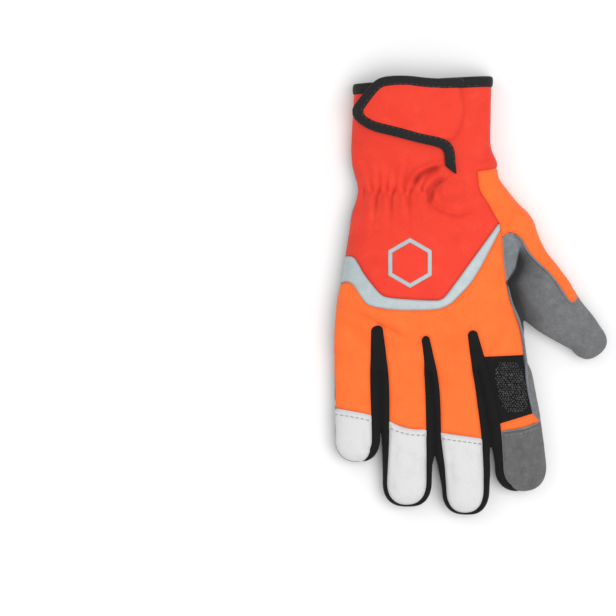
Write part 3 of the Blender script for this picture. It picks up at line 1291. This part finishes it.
# Tape folded over the edge of the cuff
def make_cuff_binding():
    middle_x, middle_z = CUFF_MIDDLE
    turns = 2 * np.pi * np.arange(BINDING_SIDES) / BINDING_SIDES
    rim_x, rim_z = (half * part for half, part in zip(CUFF_HALF, superellipse(turns, CUFF_ROUNDNESS)))
    points = []
    for x, z in zip(rim_x, rim_z):
        way = Vector((x, 0, z)).normalized()
        end = cuff_edge(middle_x + x)
        for along, out in BINDING_SECTION:
            hit, normal, _, _ = panels.tree.ray_cast(Vector((middle_x, end + along, middle_z)), way)
            flat = Vector((normal.x, 0, normal.z)).normalized()
            if flat.dot(way) < 0:
                flat = -flat
            place = hit + flat * out
            points.append((place.x, end + along, max(place.z, FLOOR_GAP)))
    count = len(BINDING_SECTION)
    triangles = []
    for i in range(BINDING_SIDES):
        following = (i + 1) % BINDING_SIDES * count
        for j in range(count):
            a, b = i * count + j, i * count + (j + 1) % count
            c, d = following + j, following + (j + 1) % count
            triangles += [(a, b, d), (a, d, c)]
    piece = new_object("cuff_edge_tape", points, np.array(triangles), [TAPE])
    stand_for(piece, ["cuff_binding"])


# Trims: stitches, raw edges and rubber nubs, laid on the finished panels
def shifted(line, distance):
    """A line moved sideways in plan, to the left of its own way where the distance is positive."""
    line = np.asarray(line, float)
    ways = unit(np.gradient(line, axis=0))
    return line + distance * np.column_stack([-ways[:, 1], ways[:, 0]])


def evenly(line, step):
    """Points at even distances along a line."""
    line = np.asarray(line, float)
    reach = np.concatenate([[0], np.cumsum(np.linalg.norm(np.diff(line, axis=0), axis=1))])
    places = np.linspace(0, reach[-1], max(2, round(reach[-1] / step) + 1))
    return np.column_stack([np.interp(places, reach, values) for values in line.T])


def smoothed(rows):
    """Unit normals averaged along a line."""
    padded = np.vstack([rows[:1], rows[:1], rows, rows[-1:], rows[-1:]])
    return unit(sum(padded[i:i + len(rows)] for i in range(5)))


def circle(first, second, sides):
    """Points of a unit circle in the plane of two directions."""
    turns = 2 * np.pi * np.arange(sides) / sides
    return np.outer(np.cos(turns), first) + np.outer(np.sin(turns), second)


class Trims:
    """Many small closed solids that become one mesh."""

    def __init__(self):
        self.points, self.triangles, self.count = [], [], 0

    def loft(self, rings):
        """A closed solid through rings of equally many points."""
        rings = np.asarray(rings)
        rows, sides = rings.shape[:2]
        points = np.vstack([rings.reshape(-1, 3), rings[0].mean(axis=0), rings[-1].mean(axis=0)])
        points[:, 2] = np.maximum(points[:, 2], FLOOR_GAP)
        first, last = rows * sides, rows * sides + 1
        end = (rows - 1) * sides
        here = np.arange(sides)
        following = (here + 1) % sides
        faces = [np.column_stack([np.full(sides, first), following, here]),
                 np.column_stack([np.full(sides, last), here + end, following + end])]
        for row in range(rows - 1):
            a, b = row * sides + here, row * sides + following
            faces += [np.column_stack([a, b, b + sides]), np.column_stack([a, b + sides, a + sides])]
        faces = np.vstack(faces)
        a, b, c = (points[faces[:, i]] for i in range(3))
        if (np.cross(a, b) * c).sum() < 0:
            faces = faces[:, ::-1]
        self.points.append(points)
        self.triangles.append(faces + self.count)
        self.count += len(points)

    def stitches(self, line, side, lift=0.0):
        """A row of running stitches."""
        places, normals = panels.on_surface(evenly(line, STITCH_SPACING), side)
        ways = unit(np.gradient(places, axis=0))
        for place, normal, way in zip(places, smoothed(normals), ways):
            ring = STITCH_RADIUS * circle(np.cross(normal, way), normal, STITCH_SIDES)
            self.loft([place + way * along * STITCH_LENGTH / 2 + normal * (lift + up * STITCH_RADIUS)
                       + size * ring for along, up, size in STITCH_PROFILE])

    def raised(self, line, side, half=EDGE_HALF, height=EDGE_HEIGHT):
        """A raised edge with a rounded section, thin at both ends."""
        places, normals = panels.on_surface(evenly(line, EDGE_STEP), side)
        normals = smoothed(normals)
        across = np.cross(normals, unit(np.gradient(places, axis=0)))
        from_end = np.minimum(np.arange(len(places)), np.arange(len(places))[::-1]) + 0.3
        shares = np.minimum(from_end / 3, 1) ** 0.5 * (1 + 0.15 * noise(places, 2.2, 12))
        self.loft([[place + over * half * share * u + normal * height * (share * v if v > 0 else v)
                    for u, v in EDGE_PROFILE]
                   for place, normal, over, share in zip(places, normals, across, shares)])

    def nub(self, place, normal, size):
        across = np.cross(normal, (0.0, 1.0, 0.0))
        across /= np.linalg.norm(across)
        ring = NUB_RADIUS * size * circle(across, np.cross(normal, across), NUB_SIDES)
        self.loft([place + share * ring + normal * NUB_HEIGHT * size * up for share, up in NUB_PROFILE])

    def joined(self, name, material):
        return new_object(name, np.vstack(self.points), np.vstack(self.triangles), [material], sharp=60)


def make_back_stitches():
    seam = smooth_line(CAP_SEAM)
    grey, dark, red, index = Trims(), Trims(), Trims(), Trims()
    for left, right in CAP_STITCH_SPANS:
        grey.stitches(shifted(stretch_between(seam, left, right), -CAP_STITCH_ROW), "back",
                      LIP_HEIGHT + 0.35 * CAP_SWELL)
    index.stitches(shifted(smooth_line(INDEX_CAP_SEAM[1:4]), -INDEX_STITCH_ROW)[2:-3], "back")
    tape = smooth_line(STRAP_TAPE)
    dark.stitches(shifted(tape, TAPE_WIDTH / 2 - TAPE_STITCH_ROW)[3:-5], "back", STRAP_TOP + TAPE_STITCH_LIFT)
    edge = np.column_stack([CUFF_XS, cuff_edge(CUFF_XS) - BINDING_WIDTH + CUFF_STITCH_ROW])
    dark.stitches(edge[CUFF_XS > STRAP_TAPE[0][0] + 4], "back", CUFF_STITCH_LIFT)
    dark.stitches(edge, "palm", CUFF_STITCH_LIFT)
    red.stitches(smooth_line(STRAP_SEAM)[1:-1], "back", 0.25)
    red.stitches(np.array(WRIST_PATCH), "back")
    grey.joined("stitches_grey", THREADS["grey"])
    dark.joined("stitches_dark", THREADS["dark"])
    red.joined("stitches_red", THREADS["red"])
    index.joined("stitches_index", THREADS["suede"])


def make_palm_trims():
    """Raw edges and stitches of the palm."""
    edges, light = Trims(), Trims()
    lower_line, upper_line = smooth_line(LOWER_CROSS), smooth_line(UPPER_CROSS)
    for spans in FINGER_FRONT_SPANS:
        for line, way, span in zip((lower_line, upper_line), (1, -1), spans):
            across = stretch_between(line, *span)
            edges.raised(across, "palm")
            light.stitches(shifted(across, way * CROSS_STITCH_ROW), "palm")
    wrist = stretch_between(smooth_line(WRIST_SEAM), *WRIST_STITCH_SPAN)
    light.stitches(shifted(wrist, -WRIST_STITCH_ROW), "palm")
    arc = smooth_line(THUMB_ARC)
    for line in (wrist, arc[1:-1], shifted(arc, -THUMB_EDGE_ROW)[1:-2], smooth_line(THUMB_FRONT[:11])[1:-2],
                 smooth_line(INDEX_SIDE_PALM[:4])[1:]):
        edges.raised(line, "palm")
    for line in (PAD_LINE, PAD_BRANCH):
        light.stitches(smooth_line(line), "palm")
    edges.joined("raw_edges_palm", EDGE)
    light.joined("stitches_palm", THREADS["grey"])


def make_piping():
    """Raw suede edges that show along the seams of the back."""
    edges = Trims()
    side = np.vstack([smooth_line(HAND_SIDE), smooth_line(INDEX_SIDE)[1:]])
    edges.raised(shifted(side, 0.5)[1:-1], "back", half=0.75, height=0.55)
    edges.raised(smooth_line(INDEX_CAP_SEAM[1:4])[1:-1], "back", half=0.5, height=0.35)
    edges.raised(shifted(smooth_line(GUSSET_THUMB_SIDE[2:10]), -0.45)[1:-2], "back", half=0.5, height=0.4)
    edges.joined("raw_edges_back", PALE_GREY)


def make_nubs():
    nubs = Trims()
    random = np.random.default_rng(21)
    spots = []
    for row in range(NUB_ROWS):
        for place in range(NUB_ROWS // 2):
            across = place - NUB_ROWS / 4 + row % 2 / 2
            up = (row - NUB_ROWS / 2) * math.sqrt(0.75)
            shift = random.uniform(-NUB_SHIFT, NUB_SHIFT, 2)
            spots.append(GRIP_CENTRE + NUB_SPACING * np.array([across, up]) + shift)
    spots = np.array(spots)
    spots = spots[grip_share(spots) < NUB_AREA]
    places, normals = panels.on_surface(spots, "back")
    for place, normal in zip(places, normals):
        nubs.nub(place + normal * NUB_LIFT, normal, random.uniform(*NUB_SIZES))
    nubs.joined("index_grip_nubs", RUBBER)


# Plain reflective outline on the back
def make_ring():
    outer = panels.distance(hexagon(RING_CENTRE, RING_RADIUS))
    inner = panels.distance(hexagon(RING_CENTRE, RING_RADIUS - RING_STROKE))
    field = np.minimum.reduce([outer, -inner, panels.up])
    add_panel("reflective_ring", ["back_ring"], "reflective_film", field, SILVER, lift=RING_WALL,
              wall=RING_WALL, seam=0.1, lining=False)


make_cuff()
make_back()
make_caps()
make_index()
make_strips()
make_palm()
make_thumb()
make_strap()
make_cuff_binding()
make_ring()
make_back_stitches()
make_palm_trims()
make_piping()
make_nubs()


# Floor, light and camera
def add_to_scene(name, data, place=(0, 0, 0)):
    thing = bpy.data.objects.new(name, data)
    thing.location = place
    bpy.context.scene.collection.objects.link(thing)
    return thing


def make_stage():
    corners = [(-FLOOR_HALF, -FLOOR_HALF), (FLOOR_HALF, -FLOOR_HALF), (FLOOR_HALF, FLOOR_HALF),
               (-FLOOR_HALF, FLOOR_HALF)]
    mesh = bpy.data.meshes.new("floor")
    mesh.from_pydata([(x, y, FLOOR_Z) for x, y in corners], [], [(0, 1, 2, 3)])
    mesh.materials.append(Paint("Floor", (238, 238, 238), 0.9).done())
    floor = add_to_scene("floor", mesh)
    world = bpy.data.worlds.new("studio")
    world.use_nodes = True
    world.node_tree.nodes["Background"].inputs["Color"].default_value = (1, 1, 1, 1)
    world.node_tree.nodes["Background"].inputs["Strength"].default_value = WORLD_STRENGTH
    bpy.context.scene.world = world
    for name, (place, power) in LIGHTS.items():
        light = bpy.data.lights.new(name, "AREA")
        light.energy = power
        light.size = LIGHT_SIZE
        lamp = add_to_scene(name, light, place)
        lamp.rotation_euler = (-Vector(place)).to_track_quat("-Z", "Y").to_euler()


def make_camera():
    lens = bpy.data.cameras.new("camera")
    lens.lens = FOCAL_LENGTH
    lens.sensor_width = 36
    lens.clip_start = 0.01
    bpy.context.scene.camera = add_to_scene("camera", lens, CAMERA_PLACE)


make_stage()
make_camera()
bpy.context.scene.view_settings.view_transform = "Standard"

bpy.context.view_layer.update()
